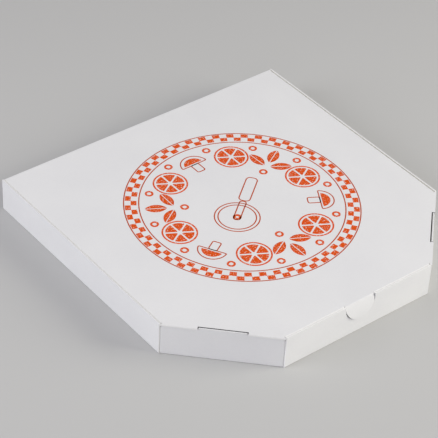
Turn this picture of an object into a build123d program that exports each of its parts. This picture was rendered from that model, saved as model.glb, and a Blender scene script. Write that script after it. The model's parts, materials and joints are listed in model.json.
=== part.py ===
from build123d import *
import os
from math import cos, radians, sin, sqrt, tan

# A folded pizza box with two cut front corners, made from one die-cut sheet of fluted card.
# +Z is up, the front with the pull tab faces -Y, and the lid hinges on the back wall.
# All sizes are in millimetres and all angles in degrees.

# Driving dimensions
box_width = 330.0
box_depth = 330.0
box_height = 35.0
card = 1.3
bend_radius = 0.3
corner_leg = 80.0

# Clearances
ply_gap = 0.2
hinge_gap = 0.3
lid_gap = 0.5
side_gap = 0.35
rest_gap = 0.15
flap_clear = 2.0
ear_lift = 0.6

# Tray walls and the ears folded in behind them
wall_rise = 0.4
wall_lap = 0.7
back_ear_length = 28.0
corner_ear_length = 22.0
ear_taper = 3.0
ear_corner = 4.0

# Lock tongues on the corner walls, and the lid's edge over them
tongue_length = 43.0
tongue_rise = 0.1
tongue_lean = 8.0
tongue_gap = 0.9
lid_overhang = 1.0

# Lid flaps
tuck_depth = 29.0
tuck_lean = 3.5
side_flap_depth = 28.0
flap_taper = 8.0
flap_corner = 6.0

# Half-moon pull tab
tab_width = 34.0
tab_depth = 17.5
tab_proud = 1.8
tab_gap = 0.7
tab_kerf = 0.5

# Places that follow from the sizes
outer_bend = bend_radius + card
mid_bend = bend_radius + card / 2
side_x = box_width / 2
back_y = (box_depth + tab_proud) / 2
front_y = back_y - box_depth
lid_under = box_height - card
wall_top = box_height + wall_rise
corner_top = lid_under - rest_gap

# Hinge lines, which run along the middle of the card
hinge_y = back_y - card / 2
hinge_z = box_height - card / 2
lid_side = side_x - card - side_gap
lid_front = front_y + card + lid_gap
tab_y = lid_front + card / 2

# Ears, which stay under the folds of the lid's flaps
fold_root = outer_bend + card
ear_bottom = card + ear_lift
ear_height = hinge_z - fold_root - rest_gap - ear_bottom
behind_wall = card + ply_gap + card / 2
back_turn_x = side_x - behind_wall

# Corner walls, which turn in behind the side and front walls
corner_turn = 45
turn_offset = behind_wall - card / sqrt(2)
corner_middle = (side_x - corner_leg / 2, front_y + corner_leg / 2)
corner_side_turn = Vector(side_x - behind_wall, front_y + corner_leg - turn_offset)
corner_front_turn = Vector(side_x - corner_leg + turn_offset, front_y + behind_wall)
corner_flat = corner_leg - turn_offset - behind_wall
side_start_y = front_y + corner_leg - wall_lap
front_half = side_x - corner_leg + wall_lap


def folded_section(plane, points):
    # The card's cross-section along a folded middle line
    with BuildSketch(plane) as section:
        with BuildLine():
            FilletPolyline(*points, radius=mid_bend)
        trace(line_width=card)
    return section.sketch


def edge_plane(x, y, outward):
    # Local x points outward and local y up, with the origin below the wall's outer face
    return Plane(origin=(x, y, 0), x_dir=outward, z_dir=Vector(outward).cross(Vector(0, 0, 1)))


def tray_wall(x, y, outward, top):
    # From a strip of the base, round the bottom fold, to the wall's top edge
    points = [(-outer_bend - card, card / 2), (-card / 2, card / 2), (-card / 2, top)]
    return folded_section(edge_plane(x, y, outward), points)


def lid_fold(x, y, outward, lean):
    # From a strip of the lid's panel, round its fold, to the root of a flap that leans inward
    corner = (-card / 2, hinge_z)
    flap = (corner[0] - fold_root * sin(radians(lean)), corner[1] - fold_root * cos(radians(lean)))
    return folded_section(edge_plane(x, y, outward), [(-outer_bend - card, hinge_z), corner, flap])


def flap_plane(x, y, outward, lean):
    # Local x runs along the fold and local y up the flap, with the origin on the middle of the card
    tilt = radians(lean)
    normal = Vector(outward) * cos(tilt) - Vector(0, 0, 1) * sin(tilt)
    centre = Vector(x, y, hinge_z) - Vector(outward) * (card / 2)
    return Plane(origin=centre, x_dir=Vector(0, 0, 1).cross(Vector(outward)), z_dir=normal)


def ear_plane(turn, along_ear):
    # Local x runs up the fold and local y back along the ear, with the origin on the middle of the card
    middle = Vector(turn.X, turn.Y, ear_bottom + ear_height / 2)
    return Plane(origin=middle, x_dir=(0, 0, 1), z_dir=along_ear.cross(Vector(0, 0, 1)))


def tongue_section(x, y, outward):
    # A lock tongue that leans outward from just below the corner wall's top
    root = corner_top - card
    tip = box_height + tongue_rise
    tip_out = (tip - root) * tan(radians(tongue_lean))
    with BuildSketch(edge_plane(x, y, outward)) as section:
        with BuildLine():
            Polyline((-card, root), (0, root), (tip_out, tip), (tip_out - card, tip), close=True)
        make_face()
    return section.sketch


def flap_outline(width, depth, taper, corner):
    # A flap that hangs below the local x axis, narrower towards two round corners
    with BuildSketch(Plane.XY) as outline:
        with BuildLine():
            Polyline(
                (-width / 2, -outer_bend),
                (taper - width / 2, -depth),
                (width / 2 - taper, -depth),
                (width / 2, -outer_bend),
                close=True,
            )
        make_face()
        fillet(outline.vertices().group_by(Axis.Y)[0], corner)
    return outline.sketch


def half_moon(width, depth):
    # A tongue's outline, hanging from a straight chord on the local x axis
    with BuildSketch(Plane.XY) as outline:
        with BuildLine():
            chord = Line((-width / 2, 0), (width / 2, 0))
            ThreePointArc(chord @ 1, (0, -depth), chord @ 0)
        make_face()
    return outline.sketch


# Tray
with BuildPart() as tray:
    # Base panel, up to where its folds begin
    base_x = side_x - outer_bend
    base_front = front_y + outer_bend
    base_leg = corner_leg + outer_bend * (sqrt(2) - 2)
    with BuildSketch():
        with BuildLine():
            right = Polyline(
                (0, back_y - outer_bend),
                (base_x, back_y - outer_bend),
                (base_x, base_front + base_leg),
                (base_x - base_leg, base_front),
                (0, base_front),
            )
            mirror(right, about=Plane.YZ)
        make_face()
    extrude(amount=card)

    # Back wall, which ends just under the lid's hinge fold
    back_top = hinge_z - card / 2 - hinge_gap
    back_half = back_turn_x - mid_bend
    extrude(tray_wall(0, back_y, (0, 1, 0), back_top), amount=back_half, both=True)

    # Front wall
    extrude(tray_wall(0, front_y, (0, -1, 0), wall_top), amount=front_half, both=True)

    for side in (-1, 1):
        # Side wall
        side_wall = tray_wall(side * side_x, (side_start_y + back_y) / 2, (side, 0, 0), wall_top)
        extrude(side_wall, amount=(back_y - side_start_y) / 2, both=True)

        # Corner wall
        outward = (side / sqrt(2), -1 / sqrt(2), 0)
        corner_x = side * corner_middle[0]
        corner_wall = tray_wall(corner_x, corner_middle[1], outward, corner_top)
        extrude(corner_wall, amount=corner_flat / sqrt(2), both=True)

        # Ears of the back wall and of the corner wall, each behind the next wall
        back_turn = Vector(side * back_turn_x, hinge_y)
        side_turn = Vector(side * corner_side_turn.X, corner_side_turn.Y)
        front_turn = Vector(side * corner_front_turn.X, corner_front_turn.Y)
        up_corner = (side_turn - front_turn).normalized()
        ears = (
            (back_turn, Vector(side, 0), Vector(0, -1), back_ear_length),
            (side_turn, up_corner, Vector(0, 1), corner_ear_length),
            (front_turn, -up_corner, Vector(-side, 0), corner_ear_length),
        )
        for turn, along_wall, along_ear, length in ears:
            fold = [turn - along_wall * fold_root, turn, turn + along_ear * fold_root]
            extrude(folded_section(Plane.XY.offset(ear_bottom), fold), amount=ear_height)
            with BuildSketch(ear_plane(turn, along_ear)):
                add(flap_outline(ear_height, length, ear_taper, ear_corner))
            extrude(amount=card / 2, both=True)

        # Lock tongue on the corner wall, which leans out through the lid's notch
        extrude(tongue_section(corner_x, corner_middle[1], outward), amount=tongue_length / 2, both=True)

    # Half-moon cut-out in the front wall
    cut_depth = wall_top - hinge_z + tab_depth + tab_gap
    with BuildSketch(Plane.XZ.offset(-front_y)):
        with Locations((0, wall_top)):
            add(half_moon(tab_width + 2 * tab_gap, cut_depth))
    extrude(amount=2 * card, both=True, mode=Mode.SUBTRACT)
tray.part.label = "tray"

# Lid
with BuildPart() as lid:
    # Top panel: inside the side and front walls, and out over the corner walls
    panel_x = lid_side - outer_bend
    panel_front = lid_front + outer_bend
    fold_start = side_start_y + lid_gap
    fold_end = back_y - card - lid_gap
    edge_y = side_start_y - lid_gap
    edge_x = front_half + lid_gap
    corner_reach = side_x - front_y - corner_leg + lid_overhang * sqrt(2)
    with BuildSketch(Plane.XY.offset(lid_under)):
        with BuildLine():
            right = Polyline(
                (0, hinge_y),
                (lid_side, hinge_y),
                (lid_side, fold_end),
                (panel_x, fold_end),
                (panel_x, edge_y),
                (corner_reach + edge_y, edge_y),
                (edge_x, edge_x - corner_reach),
                (edge_x, panel_front),
                (0, panel_front),
            )
            mirror(right, about=Plane.YZ)
        make_face()

        # Room for the pull tab's fold
        tab_room = tab_y + card / 2 + hinge_gap - panel_front
        with Locations((0, panel_front)):
            Rectangle(tab_width + 2 * tab_kerf, 2 * tab_room, mode=Mode.SUBTRACT)

        # Notches for the lock tongues, open at the lid's edge
        notch_width = tongue_length + 2 * tongue_gap
        notch_depth = card + tongue_gap + 2 * lid_overhang
        notch_inset = (card + tongue_gap) / sqrt(2)
        for side in (-1, 1):
            inner = (side * (corner_middle[0] - notch_inset), corner_middle[1] + notch_inset, 0)
            facing_out = -side * (180 - corner_turn)
            with Locations(Location(inner, (0, 0, facing_out))):
                Rectangle(notch_width, notch_depth, align=(Align.CENTER, Align.MIN), mode=Mode.SUBTRACT)
    extrude(amount=card)

    # Round hinge edge along the back
    with BuildSketch(Plane.YZ):
        with Locations((hinge_y, hinge_z)):
            Circle(card / 2)
    extrude(amount=lid_side, both=True)

    for side in (-1, 1):
        # Fold along the side, and the flap that hangs from it between the ears
        side_fold = lid_fold(side * lid_side, (fold_start + fold_end) / 2, (side, 0, 0), 0)
        extrude(side_fold, amount=(fold_end - fold_start) / 2, both=True)
        flap_start = corner_side_turn.Y + corner_ear_length + flap_clear
        flap_end = hinge_y - back_ear_length - flap_clear
        with BuildSketch(flap_plane(side * lid_side, (flap_start + flap_end) / 2, (side, 0, 0), 0)):
            add(flap_outline(flap_end - flap_start, side_flap_depth, flap_taper, flap_corner))
        extrude(amount=card / 2, both=True)

        # Front fold, on each side of the pull tab
        tab_side = tab_width / 2 + tab_kerf
        front_end = front_half - lid_gap
        front_fold = lid_fold(side * (tab_side + front_end) / 2, lid_front, (0, -1, 0), tuck_lean)
        extrude(front_fold, amount=(front_end - tab_side) / 2, both=True)

    # Tuck flap between the front ears, with the half-moon hole that the pull tab was cut from
    tuck_half = corner_front_turn.X - corner_ear_length - flap_clear
    with BuildSketch(flap_plane(0, lid_front, (0, -1, 0), tuck_lean)):
        add(flap_outline(2 * tuck_half, tuck_depth, flap_taper, flap_corner))
        add(half_moon(tab_width + 2 * tab_kerf, tab_depth + tab_kerf), mode=Mode.SUBTRACT)
    extrude(amount=card / 2, both=True)
lid.part.label = "lid"

# Pull tab, which hangs from the lid's front fold and bows out through the front wall's cut-out
with BuildPart() as pull_tab:
    tab_tip = (front_y - tab_proud + card / 2, hinge_z - tab_depth - card)
    with BuildSketch(Plane.YZ):
        with BuildLine():
            TangentArc(tab_tip, (tab_y, hinge_z), tangent=(0, 1))
        trace(line_width=card)
    extrude(amount=tab_width / 2, both=True)
    with BuildSketch(Plane.XZ.offset(-tab_y)):
        with Locations((0, hinge_z)):
            add(half_moon(tab_width, tab_depth))
    extrude(amount=tab_depth, both=True, mode=Mode.INTERSECT)
    with BuildSketch(Plane.YZ):
        with Locations((tab_y, hinge_z)):
            Circle(card / 2)
    extrude(amount=tab_width / 2, both=True)
pull_tab.part.label = "pull_tab"

os.makedirs("parts", exist_ok=True)
export_step(tray.part, "parts/tray.step")
export_step(lid.part, "parts/lid.step")
export_step(pull_tab.part, "parts/pull_tab.step")
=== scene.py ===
import json
from math import atan2, cos, pi, radians, sin

import bmesh
import bpy
from mathutils import Matrix, Vector
from mathutils.bvhtree import BVHTree

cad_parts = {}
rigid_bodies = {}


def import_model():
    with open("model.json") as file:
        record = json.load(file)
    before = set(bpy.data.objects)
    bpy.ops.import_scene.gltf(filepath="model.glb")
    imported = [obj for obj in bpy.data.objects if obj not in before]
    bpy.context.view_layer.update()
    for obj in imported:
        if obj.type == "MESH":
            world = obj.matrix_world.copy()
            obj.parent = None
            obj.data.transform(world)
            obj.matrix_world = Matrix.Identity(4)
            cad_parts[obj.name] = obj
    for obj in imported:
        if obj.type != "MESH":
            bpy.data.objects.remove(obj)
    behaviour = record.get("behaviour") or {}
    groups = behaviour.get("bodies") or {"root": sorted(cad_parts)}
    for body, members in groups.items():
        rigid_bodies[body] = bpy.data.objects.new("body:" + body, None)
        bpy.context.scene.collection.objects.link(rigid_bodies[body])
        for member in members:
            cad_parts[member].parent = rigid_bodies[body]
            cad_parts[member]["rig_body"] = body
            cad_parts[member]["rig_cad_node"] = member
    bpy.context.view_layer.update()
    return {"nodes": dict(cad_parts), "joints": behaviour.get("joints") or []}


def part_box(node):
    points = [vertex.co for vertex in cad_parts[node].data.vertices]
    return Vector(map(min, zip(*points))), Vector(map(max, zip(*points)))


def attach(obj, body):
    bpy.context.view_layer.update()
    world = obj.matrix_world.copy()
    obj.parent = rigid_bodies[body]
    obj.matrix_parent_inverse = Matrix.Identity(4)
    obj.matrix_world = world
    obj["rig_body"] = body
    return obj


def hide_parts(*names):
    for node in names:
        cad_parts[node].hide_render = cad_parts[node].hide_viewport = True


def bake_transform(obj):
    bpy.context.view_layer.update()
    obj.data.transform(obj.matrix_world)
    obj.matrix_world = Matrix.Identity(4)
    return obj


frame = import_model()

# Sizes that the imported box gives; the hinge lines run along the middle of the card
mm = 0.001
closeBy = 0.001 * mm  # points nearer than this are one point
hinges = {joint["name"]: Vector(joint["pos_m"]) for joint in frame["joints"]}
lidHinge = hinges["lid_hinge"]
tabHinge = hinges["pull_tab_hinge"]
trayLow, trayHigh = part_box("tray")
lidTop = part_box("lid")[1].z
tabLow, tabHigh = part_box("pull_tab")
cardThickness = 2 * (lidTop - lidHinge.z)
boxHeart = Vector((0, (trayLow.y + trayHigh.y) / 2, lidTop / 2))
print("Frame loaded, card", round(cardThickness / mm, 2), "mm")


def linearColour(hexCode):
    channels = [int(hexCode[i:i + 2], 16) / 255 for i in (0, 2, 4)]
    return [c / 12.92 if c <= 0.04045 else ((c + 0.055) / 1.055) ** 2.4 for c in channels] + [1]


def addNode(tree, kind, settings, links=None):
    node = tree.nodes.new(kind)
    for name, value in settings.items():
        if isinstance(name, int) or name in node.inputs:
            node.inputs[name].default_value = value
        else:
            setattr(node, name, value)
    for name, source in (links or {}).items():
        tree.links.new(source, node.inputs[name])
    return node


def newMaterial(name):
    material = bpy.data.materials.new(name)
    material.use_nodes = True
    return material, material.node_tree, material.node_tree.nodes["Principled BSDF"]


def selectOnly(piece):
    bpy.ops.object.select_all(action="DESELECT")
    piece.select_set(True)
    bpy.context.view_layer.objects.active = piece


def editAll():
    bpy.ops.object.mode_set(mode="EDIT")
    bpy.ops.mesh.select_all(action="SELECT")


def finishPlace():
    bpy.ops.object.transform_apply(location=True, rotation=True, scale=True)


def thicken(piece, thickness, offset):
    selectOnly(piece)
    paper = piece.modifiers.new("paper", "SOLIDIFY")
    paper.thickness = thickness
    paper.offset = offset
    bpy.ops.object.modifier_apply(modifier=paper.name)


# Corrugated card: two paper liners glued to a fluted middle, about 3 mm from wave to wave
flutePitch = 3.0 * mm

formation = {  # how clouds and short fibres make up the look of paper against the light
    "cloudDetail": 3.0,
    "fibreDetail": 2.0,
    "fibreShare": 0.45,
    "toneRange": (0.45, 1.0),  # from the light tone to the dark one
}

outerLiner = {
    "name": "whiteCoatedLiner",  # clay-coated and calendered: smooth, faintly cloudy, a slight sheen
    "light": "F0F0F1",
    "dark": "EBEBED",
    "cloud": 46 * mm,
    "fibre": 2.2 * mm,  # real fibres are near 1 mm, drawn coarser so that they show
    "fluteDepth": 0.003 * mm,
    "swell": 0.03 * mm,
    "roughness": 0.52,
    "specular": 0.38,
}

creaseHighlightLiner = {
    "name": "whiteCreaseHighlightLiner",  # the outer liner on a scored fold, a lighter white as a painted highlight along the fold; smoother too
    "light": "FBFBFB",
    "dark": "F6F6F7",
    "cloud": 46 * mm,
    "fibre": 2.2 * mm,
    "fluteDepth": 0.0,
    "swell": 0.03 * mm,
    "roughness": 0.46,
    "specular": 0.42,
}

innerLiner = {
    "name": "whiteUncoatedLiner",  # plain bleached kraft: duller and warmer, the flutes show through
    "light": "EAE8E2",
    "dark": "E1DED6",
    "cloud": 26 * mm,
    "fibre": 2.6 * mm,
    "fluteDepth": 0.015 * mm,
    "swell": 0.03 * mm,
    "roughness": 0.82,
    "specular": 0.25,
}


def linerMaterial(paper):
    material, tree, shader = newMaterial(paper["name"])
    coords = addNode(tree, "ShaderNodeTexCoord", {})
    place = coords.outputs["Object"]
    cloud = addNode(
        tree,
        "ShaderNodeTexNoise",
        {"Scale": 1 / paper["cloud"], "Detail": formation["cloudDetail"]},
        {"Vector": place},
    )
    fibre = addNode(
        tree,
        "ShaderNodeTexNoise",
        {"Scale": 1 / paper["fibre"], "Detail": formation["fibreDetail"]},
        {"Vector": place},
    )

    # Soft clouds with short fibres in them
    tone = addNode(
        tree,
        "ShaderNodeMath",
        {"operation": "MULTIPLY_ADD", 1: formation["fibreShare"]},
        {0: fibre.outputs["Fac"], 2: cloud.outputs["Fac"]},
    )
    lightEnd, darkEnd = formation["toneRange"]
    spread = addNode(
        tree, "ShaderNodeMapRange", {"From Min": lightEnd, "From Max": darkEnd}, {"Value": tone.outputs[0]}
    )
    colour = addNode(
        tree,
        "ShaderNodeMix",
        {"data_type": "RGBA", 6: linearColour(paper["light"]), 7: linearColour(paper["dark"])},
        {0: spread.outputs[0]},
    )

    # The flutes run from left to right in the flat sheet, so on a wall they are counted round its fold
    point = addNode(tree, "ShaderNodeSeparateXYZ", {}, {0: place})
    facing = addNode(tree, "ShaderNodeSeparateXYZ", {}, {0: coords.outputs["Normal"]})
    across = addNode(
        tree,
        "ShaderNodeMath",
        {"operation": "MULTIPLY_ADD"},
        {0: facing.outputs["Y"], 1: point.outputs["Z"], 2: point.outputs["Y"]},
    )
    phase = addNode(
        tree, "ShaderNodeMath", {"operation": "MULTIPLY", 1: 2 * pi / flutePitch}, {0: across.outputs[0]}
    )
    wave = addNode(tree, "ShaderNodeMath", {"operation": "SINE"}, {0: phase.outputs[0]})
    washboard = addNode(
        tree, "ShaderNodeMath", {"operation": "MULTIPLY", 1: paper["fluteDepth"]}, {0: wave.outputs[0]}
    )
    height = addNode(
        tree,
        "ShaderNodeMath",
        {"operation": "MULTIPLY_ADD", 1: paper["swell"]},
        {0: cloud.outputs["Fac"], 2: washboard.outputs[0]},
    )
    bump = addNode(tree, "ShaderNodeBump", {"Strength": 1.0, "Distance": 1.0}, {"Height": height.outputs[0]})

    shader.inputs["Roughness"].default_value = paper["roughness"]
    shader.inputs["Specular IOR Level"].default_value = paper["specular"]
    tree.links.new(colour.outputs[2], shader.inputs["Base Color"])
    tree.links.new(bump.outputs["Normal"], shader.inputs["Normal"])
    return material


openEdge = {
    "name": "openFluteEdge",  # die-cut across the flutes: two bright liners with the pressed wave between, and painted shade in the open flutes
    "paper": "F4F4F5",
    # the open flutes between the wave and the liners: painted shade, a darker grey
    "hollow": "DFDFE0",
    "waveSwing": 0.26,  # as shares of the card's thickness
    "waveHalf": 0.1,
    "linerStart": 0.36,
    "roughness": 0.85,
}


def openEdgeMaterial():
    material, tree, shader = newMaterial(openEdge["name"])
    strip = addNode(tree, "ShaderNodeUVMap", {"uv_map": "cutEdge"})
    place = addNode(tree, "ShaderNodeSeparateXYZ", {}, {0: strip.outputs[0]})
    phase = addNode(tree, "ShaderNodeMath", {"operation": "MULTIPLY", 1: 2 * pi}, {0: place.outputs["X"]})
    wave = addNode(tree, "ShaderNodeMath", {"operation": "SINE"}, {0: phase.outputs[0]})
    line = addNode(
        tree, "ShaderNodeMath", {"operation": "MULTIPLY", 1: openEdge["waveSwing"]}, {0: wave.outputs[0]}
    )
    offWave = addNode(
        tree, "ShaderNodeMath", {"operation": "SUBTRACT"}, {0: place.outputs["Y"], 1: line.outputs[0]}
    )
    waveGap = addNode(tree, "ShaderNodeMath", {"operation": "ABSOLUTE"}, {0: offWave.outputs[0]})
    onWave = addNode(
        tree, "ShaderNodeMath", {"operation": "LESS_THAN", 1: openEdge["waveHalf"]}, {0: waveGap.outputs[0]}
    )
    offMiddle = addNode(tree, "ShaderNodeMath", {"operation": "ABSOLUTE"}, {0: place.outputs["Y"]})
    onLiner = addNode(
        tree,
        "ShaderNodeMath",
        {"operation": "GREATER_THAN", 1: openEdge["linerStart"]},
        {0: offMiddle.outputs[0]},
    )
    onPaper = addNode(
        tree, "ShaderNodeMath", {"operation": "MAXIMUM"}, {0: onWave.outputs[0], 1: onLiner.outputs[0]}
    )
    colour = addNode(
        tree,
        "ShaderNodeMix",
        {"data_type": "RGBA", 6: linearColour(openEdge["hollow"]), 7: linearColour(openEdge["paper"])},
        {0: onPaper.outputs[0]},
    )
    shader.inputs["Roughness"].default_value = openEdge["roughness"]
    tree.links.new(colour.outputs[2], shader.inputs["Base Color"])
    return material


shutEdge = {
    "name": "shutFluteEdge",  # die-cut along the flutes: the liners are pressed together, all bright paper
    "light": "FCFCFB",
    "dark": "F2F2F0",
    "fibre": 1.6 * mm,
    "roughness": 0.85,
}

slitShadeEdge = {
    "name": "slitPaintedShadeEdge",  # cut edges inside a lock slit: painted shade of the slit, dark grey so that the shut slit reads dark
    "light": "74747A",
    "dark": "555559",
    "fibre": 1.6 * mm,
    "roughness": 0.9,
}


def fibreMaterial(edge):
    material, tree, shader = newMaterial(edge["name"])
    coords = addNode(tree, "ShaderNodeTexCoord", {})
    fibre = addNode(
        tree,
        "ShaderNodeTexNoise",
        {"Scale": 1 / edge["fibre"], "Detail": formation["fibreDetail"]},
        {"Vector": coords.outputs["Object"]},
    )
    colour = addNode(
        tree,
        "ShaderNodeMix",
        {"data_type": "RGBA", 6: linearColour(edge["dark"]), 7: linearColour(edge["light"])},
        {0: fibre.outputs["Fac"]},
    )
    shader.inputs["Roughness"].default_value = edge["roughness"]
    tree.links.new(colour.outputs[2], shader.inputs["Base Color"])
    return material


cardFinishes = [linerMaterial(outerLiner), linerMaterial(innerLiner), openEdgeMaterial()]
cardFinishes += [fibreMaterial(shutEdge), fibreMaterial(slitShadeEdge), linerMaterial(creaseHighlightLiner)]
outerSide, innerSide, openSide, shutSide, slitShadeSide, creaseHighlightSide = range(6)
leastCrossing = 0.75  # an edge that crosses the flutes at a flatter slant than this is pressed shut
slitReach = 2.5 * mm  # a cut corner's edge with a lock tongue nearer than this stands in its slit and gets the painted slit shade
leastDiagonal = 0.5  # the least x and y of a normal that faces a cut corner
creaseTilt = radians(10)  # an outer face turned more than this from level and from upright is in a fold and gets the painted fold highlight
throughCard = {"inset": 0.01, "reach": 1.2}  # where a look through the card starts and ends, as shares of it
smoothAngles = {"flat": radians(0.2), "card": radians(30), "fold": radians(40)}
print("Card materials made")


# Card pieces: each is the folded sheet itself, with its two paper sides and its cut edges told apart
def shellOf(mesh):
    return BVHTree.FromPolygons([v.co for v in mesh.vertices], [f.vertices for f in mesh.polygons])


trayShell = shellOf(frame["nodes"]["tray"].data)


def onCrease(normal):
    return sin(creaseTilt) < abs(normal.z) < cos(creaseTilt)


def sortFaces(piece, nodeName):
    mesh = piece.data
    shell = shellOf(mesh)
    inset = throughCard["inset"] * cardThickness
    reach = throughCard["reach"] * cardThickness
    for face in mesh.polygons:
        farSide = shell.ray_cast(face.center - face.normal * inset, -face.normal, reach)
        if farSide[0] is None:
            face.material_index = openSide
        elif face.normal.dot(face.center - boxHeart) > 0:
            paintedHighlight = nodeName != "pull_tab" and onCrease(face.normal)  # the tab is bowed, not scored, so it gets no painted fold highlight
            face.material_index = creaseHighlightSide if paintedHighlight else outerSide
        else:
            face.material_index = innerSide


def inLockSlit(face):
    diagonal = min(abs(face.normal.x), abs(face.normal.y)) > leastDiagonal
    tongue = trayShell.ray_cast(face.calc_center_bounds(), face.normal, slitReach)
    return diagonal and tongue[0] is not None


def mapCutEdges(piece, nodeName):
    sheet = bmesh.new()
    sheet.from_mesh(piece.data)
    layer = sheet.loops.layers.uv.new("cutEdge")
    leftRight, upright = Vector((1, 0, 0)), Vector((0, 0, 1))
    for face in [f for f in sheet.faces if f.material_index == openSide]:
        neighbours = [f for e in face.edges for f in e.link_faces]
        beside = [f for f in neighbours if f.material_index in (outerSide, innerSide, creaseHighlightSide)]
        if not beside:
            continue
        paperNormal = beside[0].normal
        turned = leftRight.dot(paperNormal)
        alongFlutes = leftRight - turned * paperNormal + turned * upright  # left to right, folded up
        acrossFlutes = paperNormal.cross(alongFlutes)
        alongEdge = face.normal.cross(paperNormal)
        # the lid's cut edges that stand in a lock slit get the painted slit shade
        if nodeName == "lid" and inLockSlit(face):
            face.material_index = slitShadeSide
        elif abs(alongEdge.dot(acrossFlutes)) < leastCrossing:
            face.material_index = shutSide
        middle = face.calc_center_bounds()
        for loop in face.loops:
            across = loop.vert.co.dot(acrossFlutes) / flutePitch
            loop[layer].uv = (across, (loop.vert.co - middle).dot(paperNormal) / cardThickness)
    sheet.to_mesh(piece.data)
    sheet.free()


def cardPiece(nodeName, pieceName):
    selectOnly(frame["nodes"][nodeName])
    bpy.ops.object.duplicate()
    piece = bpy.context.active_object
    piece.name = pieceName
    piece.parent = None
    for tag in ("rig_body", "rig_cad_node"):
        del piece[tag]
    piece.data.materials.clear()
    for finish in cardFinishes:
        piece.data.materials.append(finish)
    bpy.ops.mesh.customdata_custom_splitnormals_clear()
    editAll()
    bpy.ops.mesh.remove_doubles(threshold=closeBy)
    bpy.ops.object.mode_set(mode="OBJECT")
    sortFaces(piece, nodeName)
    editAll()
    bpy.ops.mesh.dissolve_limited(angle_limit=smoothAngles["flat"], delimit={"MATERIAL"})
    bpy.ops.object.mode_set(mode="OBJECT")
    mapCutEdges(piece, nodeName)
    bpy.ops.object.shade_smooth_by_angle(angle=smoothAngles["card"])
    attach(piece, nodeName)
    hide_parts(nodeName)
    print(pieceName, len(piece.data.polygons), "faces")


cardPiece("tray", "trayCard")
cardPiece("lid", "lidCard")
cardPiece("pull_tab", "pullTabCard")


# Folds: the liner paper that runs on over each hinge, bent with the card on its outside and its inside
foldPaper = {
    "thickness": 0.06 * mm,
    "standOff": 0.02 * mm,  # from the card's face to the middle of the paper
    "steps": 10,
}
foldRadius = cardThickness / 2 + foldPaper["standOff"]

lidFold = {
    "name": "lidFold",
    "hinge": lidHinge,
    "toLid": -1,  # the lid lies towards the front of this hinge
    "lean": 0,  # how far the panel that hangs from the fold leans outwards
    "halfLength": trayHigh.x - 3.5 * mm,  # clear of the side walls
    "lap": 2.4 * mm,
    "bodies": ("tray", "lid"),
    "outsideTurn": ((0.65, -0.9), (-0.3, 0.65)),  # y and z from the hinge in mm: the bend's start and end
    "insideTurn": ((-0.7, -1.15), (-1.3, -0.7)),
}

tabFold = {
    "name": "tabFold",
    "hinge": tabHinge,
    "toLid": 1,
    "lean": 2 * atan2(tabHinge.y - cardThickness / 2 - tabLow.y, tabHinge.z - tabLow.z + cardThickness),
    "halfLength": tabHigh.x - 0.4 * mm,
    "lap": 1.6 * mm,
    "bodies": ("pull_tab", "lid"),
    "outsideTurn": ((-0.5, 0.3), (0.95, 0.7)),
    "insideTurn": ((0.3, -1.2), (1.1, -0.7)),
}


def addStrip(name, place, width, depth):
    bpy.ops.object.select_all(action="DESELECT")
    bpy.ops.mesh.primitive_plane_add(size=1, location=place)
    strip = bpy.context.active_object
    strip.name = name
    strip.scale = (width, depth, 1)
    finishPlace()
    return strip


def selectRow(strip, rowY):
    mesh = strip.data
    for face in mesh.polygons:
        face.select = False
    for vertex in mesh.vertices:
        vertex.select = abs(vertex.co.y - rowY) < closeBy
    for edge in mesh.edges:
        edge.select = all(mesh.vertices[i].select for i in edge.vertices)
    bpy.ops.object.mode_set(mode="EDIT")


def runOn(move):
    bpy.ops.mesh.extrude_region_move(TRANSFORM_OT_translate={"value": move})


def finishFold(strip, finish):
    bpy.ops.object.mode_set(mode="OBJECT")
    thicken(strip, foldPaper["thickness"], 0)
    editAll()
    bpy.ops.mesh.normals_make_consistent(inside=False)
    bpy.ops.object.mode_set(mode="OBJECT")
    bpy.ops.object.shade_smooth_by_angle(angle=smoothAngles["fold"])
    strip.data.materials.append(finish)
    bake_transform(strip)
    print(strip.name, len(strip.data.polygons), "faces")


def outsideFold(fold):
    hinge, toLid, lean, lap = fold["hinge"], fold["toLid"], fold["lean"], fold["lap"]
    place = hinge + Vector((0, toLid * lap / 2, foldRadius))
    strip = addStrip(fold["name"] + "Outside", place, 2 * fold["halfLength"], lap)
    selectRow(strip, hinge.y)
    bend = -toLid * (pi / 2 - lean)
    bpy.ops.mesh.spin(steps=foldPaper["steps"], angle=bend, center=hinge, axis=(1, 0, 0))
    runOn((0, -toLid * lap * sin(lean), -lap * cos(lean)))
    finishFold(strip, cardFinishes[outerSide])


def insideFold(fold):
    hinge, toLid, lean, lap = fold["hinge"], fold["toLid"], fold["lean"], fold["lap"]
    step = lap / foldPaper["steps"]
    corner = foldRadius * (1 - sin(lean)) / cos(lean)
    place = hinge + Vector((0, toLid * (corner + lap - step / 2), -foldRadius))
    strip = addStrip(fold["name"] + "Inside", place, 2 * fold["halfLength"], step)
    selectRow(strip, hinge.y + toLid * (corner + lap - step))
    for i in range(foldPaper["steps"] - 1):
        runOn((0, -toLid * step, 0))
    for i in range(foldPaper["steps"]):
        runOn((0, -toLid * step * sin(lean), -step * cos(lean)))
    finishFold(strip, cardFinishes[innerSide])


for fold in (lidFold, tabFold):
    outsideFold(fold)
    insideFold(fold)


# Print on the lid: a wreath of tomato slices, basil, mushrooms and olives round a cutter wheel
lidPrint = {
    "centre": Vector((0, 6, 0)) * mm,
    "inkTop": 0.06 * mm,  # how far the ink stands off the lid
    "inkDepth": 0.1 * mm,
    "line": 1.1 * mm,
    "motifCircle": 74 * mm,
    "sprigCircle": 68 * mm,
    "tomatoes": 6,
    "outerOlives": 89 * mm,
    "innerOlives": 55 * mm,
    "cornerTurn": radians(35),  # an outline that turns by more than this has a corner to round
    "cornerSteps": 6,
}

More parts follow.
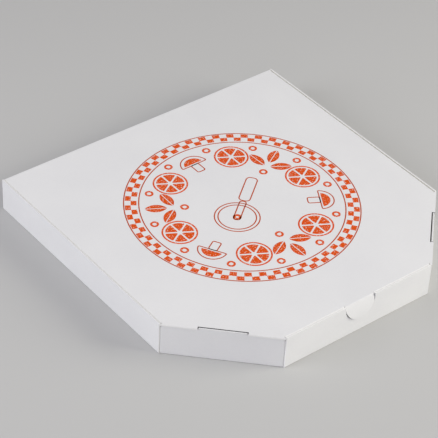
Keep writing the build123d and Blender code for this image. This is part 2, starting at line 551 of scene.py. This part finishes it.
fieldInk = {
    "name": "orangeFlexoInk",  # water-based ink rolled from a rubber plate: matt, with pinholes of bare paper
    "light": "EA5C0C",
    "dark": "DE4C02",
    "paper": "EDD9CF",
    "pinhole": 1.3 * mm,  # real pinholes are near 0.3 mm, drawn coarser so that they show
    "cover": 0.6,  # noise above this is a pinhole
    "pinholeRim": 0.06,
    "detail": 2.0,
    "roughness": 0.62,
    "specular": 0.15,
}

lineInk = {
    "name": "rustFlexoInk",  # the same ink squeezed to the edges of fine lines: darker and browner
    "light": "CB541C",
    "dark": "B94710",
    "paper": "E3B8A4",
    "pinhole": 1.3 * mm,
    "cover": 0.68,
    "pinholeRim": 0.06,
    "detail": 2.0,
    "roughness": 0.62,
    "specular": 0.15,
}


def inkMaterial(ink):
    material, tree, shader = newMaterial(ink["name"])
    coords = addNode(tree, "ShaderNodeTexCoord", {})
    grain = addNode(
        tree,
        "ShaderNodeTexNoise",
        {"Scale": 1 / ink["pinhole"], "Detail": ink["detail"]},
        {"Vector": coords.outputs["Object"]},
    )
    body = addNode(
        tree,
        "ShaderNodeMix",
        {"data_type": "RGBA", 6: linearColour(ink["dark"]), 7: linearColour(ink["light"])},
        {0: grain.outputs["Fac"]},
    )
    bare = addNode(
        tree,
        "ShaderNodeMapRange",
        {"From Min": ink["cover"], "From Max": ink["cover"] + ink["pinholeRim"]},
        {"Value": grain.outputs["Fac"]},
    )
    colour = addNode(
        tree,
        "ShaderNodeMix",
        {"data_type": "RGBA", 7: linearColour(ink["paper"])},
        {0: bare.outputs[0], 6: body.outputs[2]},
    )
    shader.inputs["Roughness"].default_value = ink["roughness"]
    shader.inputs["Specular IOR Level"].default_value = ink["specular"]
    tree.links.new(colour.outputs[2], shader.inputs["Base Color"])
    return material


def addDisc(radius, corners, place=(0, 0, 0)):
    bpy.ops.object.select_all(action="DESELECT")
    bpy.ops.mesh.primitive_circle_add(vertices=corners, radius=radius, fill_type="NGON", location=place)
    finishPlace()
    editAll()
    return bpy.context.active_object


def addBar(size, place):
    bar = addStrip("bar", place, *size)
    editAll()
    return bar


def done(part):
    bpy.ops.object.mode_set(mode="OBJECT")
    return part


def keepBelow(place, direction):
    bpy.ops.mesh.bisect(plane_co=place, plane_no=direction, clear_outer=True)
    bpy.ops.mesh.select_all(action="SELECT")


def roundCorners(size):
    outline = bmesh.from_edit_mesh(bpy.context.active_object.data)
    for vertex in outline.verts:
        vertex.select = vertex.calc_edge_angle(0) > lidPrint["cornerTurn"]
    outline.select_flush_mode()
    bmesh.update_edit_mesh(bpy.context.active_object.data)
    bpy.ops.mesh.bevel(offset=size, segments=lidPrint["cornerSteps"], affect="VERTICES")
    bpy.ops.mesh.select_all(action="SELECT")


def hollow(line):
    bpy.ops.mesh.inset(thickness=line)
    bpy.ops.mesh.delete(type="FACE")


def merge(name, parts):
    bpy.ops.object.select_all(action="DESELECT")
    for part in parts:
        part.select_set(True)
    bpy.context.view_layer.objects.active = parts[0]
    bpy.ops.object.join()
    parts[0].name = name
    return parts[0]


def copyOf(part, turn, place):
    selectOnly(part)
    bpy.ops.object.duplicate()
    copy = bpy.context.active_object
    copy.rotation_euler = (0, 0, turn)
    copy.location = place
    finishPlace()
    return copy


def ringMotif(radius, line, corners):
    ring = addDisc(radius, corners)
    hollow(line)
    return done(ring)


olive = {"radius": 4.2 * mm, "flesh": 2.1 * mm, "outline": 28}  # outline: how many points a round has

tomatoSlice = {
    "radius": 17 * mm,
    "skin": 1.6 * mm,
    "pockets": 6,
    "gap": 1.8 * mm,
    "corner": 1.6 * mm,
    "skinOutline": 48,
    "pocketOutline": 60,
}


def tomatoMotif():
    pockets, gap = tomatoSlice["pockets"], tomatoSlice["gap"]
    skin = ringMotif(tomatoSlice["radius"], tomatoSlice["skin"], tomatoSlice["skinOutline"])
    pocket = addDisc(tomatoSlice["radius"] - tomatoSlice["skin"] - gap, tomatoSlice["pocketOutline"])
    half = pi / pockets
    tip = (0, gap / 2 / sin(half), 0)
    keepBelow(tip, (cos(half), -sin(half), 0))
    keepBelow(tip, (-cos(half), -sin(half), 0))
    roundCorners(tomatoSlice["corner"])
    turn = 2 * half * (pockets - 1)
    bpy.ops.mesh.spin(steps=pockets - 1, angle=turn, center=(0, 0, 0), axis=(0, 0, 1), dupli=True)
    return merge("tomato", [skin, done(pocket)])


basil = {
    "length": 21.5 * mm,
    "halfWidth": 5.5 * mm,
    "vein": 0.9 * mm,
    "veins": 4,
    "veinRoom": (0.7, 0.9),  # steps before the first vein, and in the leaf beyond one for each vein
    "slant": radians(38),
    "sideTurn": radians(62),  # the two lower leaves of a sprig
    "rise": 3.4 * mm,  # from the middle of the sprig to the foot of its top leaf
    "sideFoot": (3 * mm, -2.6 * mm),
    "outline": 96,
}


def leafMotif():
    length, width, vein, slant = basil["length"], basil["halfWidth"], basil["vein"], basil["slant"]
    radius = (length * length / 4 + width * width) / (2 * width)
    leaf = addDisc(radius, basil["outline"], (width - radius, 0, 0))
    keepBelow((vein / 2, 0, 0), (-1, 0, 0))
    firstRoom, allRoom = basil["veinRoom"]
    for i in range(basil["veins"]):
        along = length * ((i + firstRoom) / (basil["veins"] + allRoom) - 1 / 2)
        bpy.ops.mesh.bisect(plane_co=(0, along, 0), plane_no=(-sin(slant), cos(slant), 0))
        bpy.ops.mesh.select_all(action="SELECT")
    bpy.ops.mesh.inset(thickness=vein / 2, use_individual=True)
    bpy.ops.mesh.select_all(action="INVERT")
    bpy.ops.mesh.delete(type="FACE")
    bpy.ops.mesh.select_all(action="SELECT")
    bpy.ops.mesh.duplicate()
    bpy.ops.transform.resize(value=(-1, 1, 1), center_override=(0, 0, 0))
    bpy.ops.mesh.select_all(action="SELECT")
    bpy.ops.transform.translate(value=(0, length / 2, 0))
    return done(leaf)


def sprigMotif():
    leaf = leafMotif()
    out, down = basil["sideFoot"]
    leaves = [
        copyOf(leaf, 0, (0, basil["rise"], 0)),
        copyOf(leaf, basil["sideTurn"], (-out, down, 0)),
        copyOf(leaf, -basil["sideTurn"], (out, down, 0)),
    ]
    bpy.data.objects.remove(leaf)
    return merge("sprig", leaves)


mushroom = {
    "cap": 14.5 * mm,
    "gills": 10.5 * mm,
    "gillsRise": 2.3 * mm,
    "stem": (9.5 * mm, 13 * mm),
    "corner": 2.2 * mm,
    "outline": 64,
}


def halfDisc(radius, rise):
    cap = addDisc(radius, mushroom["outline"])
    keepBelow((0, rise, 0), (0, -1, 0))
    roundCorners(mushroom["corner"])
    return cap


def mushroomMotif():
    line = lidPrint["line"]
    cap = halfDisc(mushroom["cap"], 0)
    hollow(line)
    done(cap)
    stem = addBar(mushroom["stem"], (0, line - mushroom["stem"][1] / 2, 0))
    roundCorners(mushroom["corner"])
    hollow(line)
    return merge("mushroom", [cap, done(stem)])


cutter = {
    "blade": 22 * mm,
    "bevel": 3.4 * mm,
    "hub": 4.2 * mm,
    "hubHole": 1.6 * mm,
    "yoke": (7.5 * mm, 30 * mm),
    "handle": (12 * mm, 38 * mm),
    "corner": 4.5 * mm,
    "cornerShare": 0.4,  # the most of a bar's width that a corner may take
    "neck": 3.3 * mm,  # how far the yoke stands past the blade
    "turn": radians(38),
    "bladeOutline": 72,
    "hubOutline": 28,
}
cutterMiddle = (cutter["handle"][1] + cutter["neck"]) / 2  # from the hub to the middle of the whole cutter


def cutterMotif():
    line, blade, outline = lidPrint["line"], cutter["blade"], cutter["bladeOutline"]
    parts = [ringMotif(blade, line, outline), ringMotif(blade - cutter["bevel"], line, outline)]
    yokeTop = blade + cutter["neck"]
    for size, top in ((cutter["yoke"], yokeTop), (cutter["handle"], yokeTop + cutter["handle"][1])):
        parts.append(addBar(size, (0, top - size[1] / 2, 0)))
        roundCorners(min(cutter["corner"], cutter["cornerShare"] * size[0]))
        hollow(line)
        done(parts[-1])
    return merge("cutter", parts)


checkBorder = {
    "outer": 112.6 * mm,
    "inner": 98.4 * mm,
    "rows": (111 * mm, 105.4 * mm),  # outer radius of each row of checks
    "height": 5.4 * mm,
    "checks": 96,
    "lineOutline": 160,
}


def checkRow(radius, offset):
    step = 2 * pi / checkBorder["checks"]
    row = addDisc(radius, checkBorder["checks"])
    hollow(checkBorder["height"])
    for face in bmesh.from_edit_mesh(row.data).faces:
        middle = face.calc_center_median()
        face.select_set((int((atan2(middle.y, middle.x) + 2 * pi) / step) + offset) % 2 == 0)
    bpy.ops.mesh.delete(type="FACE")
    return done(row)


def onLid(motif, reach, angle, turn=0):
    inkHeight = lidTop + lidPrint["inkTop"]
    middle = lidPrint["centre"] + Vector((reach * cos(angle), reach * sin(angle), inkHeight))
    return copyOf(motif, angle - pi / 2 + turn, middle)


def finishPrint(name, motifs, copies, ink):
    for motif in motifs:
        bpy.data.objects.remove(motif)
    layer = merge(name, copies)
    editAll()
    for face in bmesh.from_edit_mesh(layer.data).faces:
        face.select_set(face.normal.z < 0)
    bpy.ops.mesh.flip_normals()
    bpy.ops.object.mode_set(mode="OBJECT")
    thicken(layer, lidPrint["inkDepth"], -1)
    layer.data.materials.append(inkMaterial(ink))
    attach(layer, "lid")
    print(name, len(layer.data.polygons), "faces")


def printFields():
    count, circle = lidPrint["tomatoes"], lidPrint["motifCircle"]
    tomato, sprig = tomatoMotif(), sprigMotif()
    gills = done(halfDisc(mushroom["gills"], mushroom["gillsRise"]))
    ring = ringMotif(olive["radius"], olive["flesh"], olive["outline"])
    hub = ringMotif(cutter["hub"], cutter["hub"] - cutter["hubHole"], cutter["hubOutline"])
    rows = [checkRow(radius, i) for i, radius in enumerate(checkBorder["rows"])]
    copies = [onLid(row, 0, pi / 2) for row in rows]
    for i in range(count):
        angle = 2 * pi * i / count
        between = angle + pi / count
        copies.append(onLid(tomato, circle, angle, angle))
        if i % 2:
            copies.append(onLid(gills, circle, between))
        else:
            copies.append(onLid(sprig, lidPrint["sprigCircle"], between))
            copies.append(onLid(ring, lidPrint["innerOlives"], between))
        for side in (-1, 1):
            copies.append(onLid(ring, lidPrint["outerOlives"], angle + side * pi / (2 * count)))
    copies.append(onLid(hub, -cutterMiddle, cutter["turn"]))
    finishPrint("printFields", [tomato, sprig, gills, ring, hub] + rows, copies, fieldInk)


def printLines():
    count, circle = lidPrint["tomatoes"], lidPrint["motifCircle"]
    sliced, wheel = mushroomMotif(), cutterMotif()
    outline = checkBorder["lineOutline"]
    borders = [ringMotif(checkBorder[edge], lidPrint["line"], outline) for edge in ("outer", "inner")]
    copies = [onLid(border, 0, pi / 2) for border in borders]
    for i in range(1, count, 2):
        copies.append(onLid(sliced, circle, 2 * pi * i / count + pi / count))
    copies.append(onLid(wheel, -cutterMiddle, cutter["turn"]))
    finishPrint("printLines", [sliced, wheel] + borders, copies, lineInk)


printFields()
printLines()


# Floor, lamps and camera
studio = {
    "floor": "C9C9C8",
    "floorRoughness": 0.9,
    "floorSize": 8.0,
    "world": "FCFAFF",
    "worldStrength": 0.43,
    "lamps": {  # each lamp's place from the middle of the box, in metres, its width, power and colour
        "leftSoftbox": {"place": (-1.6, 0.5, 0.8), "width": 1.2, "power": 3.85, "colour": "FBFCFF"},
        "rightSoftbox": {"place": (1.3, -1.18, 0.9), "width": 1.2, "power": 7.0, "colour": "FFFDF1"},
        "frontFill": {"place": (-1.2, -1.2, 0.9), "width": 1.2, "power": 1.1, "colour": "FAF9FF"},
    },
    "lampSpread": radians(90),  # a grid on each lamp keeps a pool of light off the floor round the box
}


def setStudio():
    bpy.ops.mesh.primitive_plane_add(size=studio["floorSize"], location=(0, 0, trayLow.z))
    floor = bpy.context.active_object
    floor.name = "floor"
    material, _, shader = newMaterial("paleFloor")
    shader.inputs["Base Color"].default_value = linearColour(studio["floor"])
    shader.inputs["Roughness"].default_value = studio["floorRoughness"]
    floor.data.materials.append(material)

    world = bpy.data.worlds.new("studio")
    bpy.context.scene.world = world
    world.use_nodes = True
    background = world.node_tree.nodes["Background"]
    background.inputs["Color"].default_value = linearColour(studio["world"])
    background.inputs["Strength"].default_value = studio["worldStrength"]

    for name, lamp in studio["lamps"].items():
        place = boxHeart + Vector(lamp["place"])
        bpy.ops.object.light_add(type="AREA", location=place)
        light = bpy.context.active_object
        light.name = name
        light.rotation_euler = (place - boxHeart).to_track_quat("Z", "Y").to_euler()
        light.data.size = lamp["width"]
        light.data.spread = studio["lampSpread"]
        light.data.energy = lamp["power"]
        light.data.color = linearColour(lamp["colour"])[:3]


setStudio()

# The photograph's view, fitted to the box's straight edges; angles in degrees
photoView = {
    "azimuth": -39.78,
    "elevation": 38.73,
    "roll": 2.98,
    "distance": 1.8304,
    "target": Vector((-4.2, 34.3, 0)) * mm,
    "lens": 156.2,
    "sensorWidth": 36,
}


def setCamera():
    turn, lift, roll = (radians(photoView[angle]) for angle in ("azimuth", "elevation", "roll"))
    back = Vector((sin(turn) * cos(lift), -cos(turn) * cos(lift), sin(lift)))
    level = Vector((0, 0, 1)).cross(back).normalized()
    upright = back.cross(level)
    right = cos(roll) * level + sin(roll) * upright
    up = back.cross(right)
    bpy.ops.object.camera_add(location=photoView["target"] + back * photoView["distance"])
    camera = bpy.context.active_object
    camera.rotation_euler = Matrix((right, up, back)).transposed().to_euler()
    camera.data.lens = photoView["lens"]
    camera.data.sensor_width = photoView["sensorWidth"]
    bpy.context.scene.camera = camera


setCamera()
bpy.context.scene.view_settings.view_transform = "Standard"
print("Studio and camera set")
